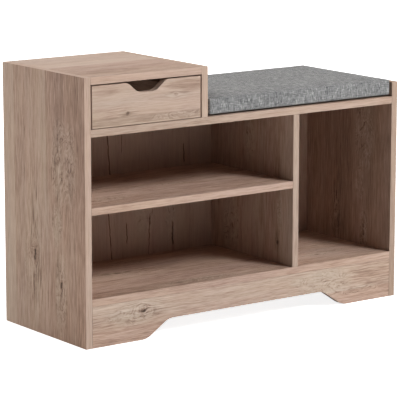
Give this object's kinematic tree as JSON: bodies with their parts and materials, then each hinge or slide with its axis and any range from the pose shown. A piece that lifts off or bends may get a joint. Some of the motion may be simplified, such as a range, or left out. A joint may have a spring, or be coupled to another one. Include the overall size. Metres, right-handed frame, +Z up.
{
  "type": "entryway bench",
  "caption": "Low entryway shoe bench with a drawer tower at one end, open shoe compartments with a shelf, and a padded seat",
  "frame": {"origin": "on the floor, under the middle of the bench's overall box", "axes": "+X to the right along the bench, -Y out of the front (the drawer opens that way), +Z up"},
  "size_m": [0.8, 0.3, 0.54],
  "materials": {
    "oak_decor_board": "matt greige oak decor foil on particle board, plank-like grain with knots, light edge bands",
    "thin_back_board": "matt printed oak decor on thin fibreboard",
    "grey_linen": "mid grey heathered linen-look weave with slubs",
    "plywood": "raw thin plywood",
    "hook_tape": "black hook tape",
    "zinc_fitting": "zinc plated die-cast fittings",
    "white_steel": "white powder-coated steel",
    "nylon_wheel": "natural white nylon"
  },
  "bodies": {
    "cabinet": {"left_side_panel": "oak_decor_board", "right_side_panel": "oak_decor_board", "tower_side_panel": "oak_decor_board", "tower_top_panel": "oak_decor_board", "seat_panel": "oak_decor_board", "middle_divider": "oak_decor_board", "middle_shelf": "oak_decor_board", "bottom_panel": "oak_decor_board", "front_apron": "oak_decor_board", "rear_rail": "oak_decor_board", "back_panel": "thin_back_board", "tower_back_panel": "thin_back_board", "cabinet_runner_left": "white_steel", "cabinet_runner_right": "white_steel", "hook_pad_front_left": "hook_tape", "hook_pad_front_right": "hook_tape", "hook_pad_rear_left": "hook_tape", "hook_pad_rear_right": "hook_tape", "cam_nut_tower_top_left_front": "zinc_fitting", "cam_nut_tower_top_left_rear": "zinc_fitting", "cam_nut_tower_top_right_front": "zinc_fitting", "cam_nut_tower_top_right_rear": "zinc_fitting", "cam_nut_seat_left_front": "zinc_fitting", "cam_nut_seat_left_rear": "zinc_fitting", "cam_nut_seat_right_front": "zinc_fitting", "cam_nut_seat_right_rear": "zinc_fitting", "cam_nut_bottom_left_front": "zinc_fitting", "cam_nut_bottom_left_rear": "zinc_fitting", "cam_nut_bottom_right_front": "zinc_fitting", "cam_nut_bottom_right_rear": "zinc_fitting", "cam_bolt_tower_top_left_front": "zinc_fitting", "cam_bolt_tower_top_left_rear": "zinc_fitting", "cam_bolt_tower_top_right_front": "zinc_fitting", "cam_bolt_tower_top_right_rear": "zinc_fitting", "cam_bolt_seat_left_front": "zinc_fitting", "cam_bolt_seat_left_rear": "zinc_fitting", "cam_bolt_seat_right_front": "zinc_fitting", "cam_bolt_seat_right_rear": "zinc_fitting", "cam_bolt_bottom_left_front": "zinc_fitting", "cam_bolt_bottom_left_rear": "zinc_fitting", "cam_bolt_bottom_right_front": "zinc_fitting", "cam_bolt_bottom_right_rear": "zinc_fitting", "shelf_pin_left_front": "zinc_fitting", "shelf_pin_left_rear": "zinc_fitting", "shelf_pin_right_front": "zinc_fitting", "shelf_pin_right_rear": "zinc_fitting"},
    "drawer": {"drawer_front": "oak_decor_board", "drawer_left_side": "oak_decor_board", "drawer_right_side": "oak_decor_board", "drawer_back": "oak_decor_board", "drawer_bottom": "thin_back_board", "drawer_runner_left": "white_steel", "drawer_runner_right": "white_steel"},
    "cushion": {"seat_cushion": "grey_linen", "cushion_base_board": "plywood"},
    "cabinet_wheel_left": {"cabinet_roller_left": "nylon_wheel"},
    "cabinet_wheel_right": {"cabinet_roller_right": "nylon_wheel"},
    "drawer_wheel_left": {"drawer_roller_left": "nylon_wheel"},
    "drawer_wheel_right": {"drawer_roller_right": "nylon_wheel"}
  },
  "joints": [
    {"name": "drawer_slide", "type": "slide", "parent": "cabinet", "child": "drawer", "axis": [0, -1, 0], "range_m": [0, 0.185]},
    {"name": "cushion_lift", "type": "slide", "parent": "cabinet", "child": "cushion", "axis": [0, 0, 1], "range_m": [0, 0.06]},
    {"name": "cabinet_wheel_left_spin", "type": "hinge", "parent": "cabinet", "child": "cabinet_wheel_left", "pos_m": [-0.3794, -0.122, 0.4557], "axis": [1, 0, 0], "continuous": true},
    {"name": "cabinet_wheel_right_spin", "type": "hinge", "parent": "cabinet", "child": "cabinet_wheel_right", "pos_m": [-0.1236, -0.122, 0.4557], "axis": [1, 0, 0], "continuous": true},
    {"name": "drawer_wheel_left_spin", "type": "hinge", "parent": "drawer", "child": "drawer_wheel_left", "pos_m": [-0.3781, 0.107, 0.4528], "axis": [1, 0, 0], "continuous": true},
    {"name": "drawer_wheel_right_spin", "type": "hinge", "parent": "drawer", "child": "drawer_wheel_right", "pos_m": [-0.1249, 0.107, 0.4528], "axis": [1, 0, 0], "continuous": true}
  ],
  "couplings": [
    {"joint": "cabinet_wheel_left_spin", "follows": "drawer_slide", "rad_per_m": 166.67},
    {"joint": "cabinet_wheel_right_spin", "follows": "drawer_slide", "rad_per_m": 166.67},
    {"joint": "drawer_wheel_left_spin", "follows": "drawer_slide", "rad_per_m": 181.82},
    {"joint": "drawer_wheel_right_spin", "follows": "drawer_slide", "rad_per_m": 181.82}
  ]
}
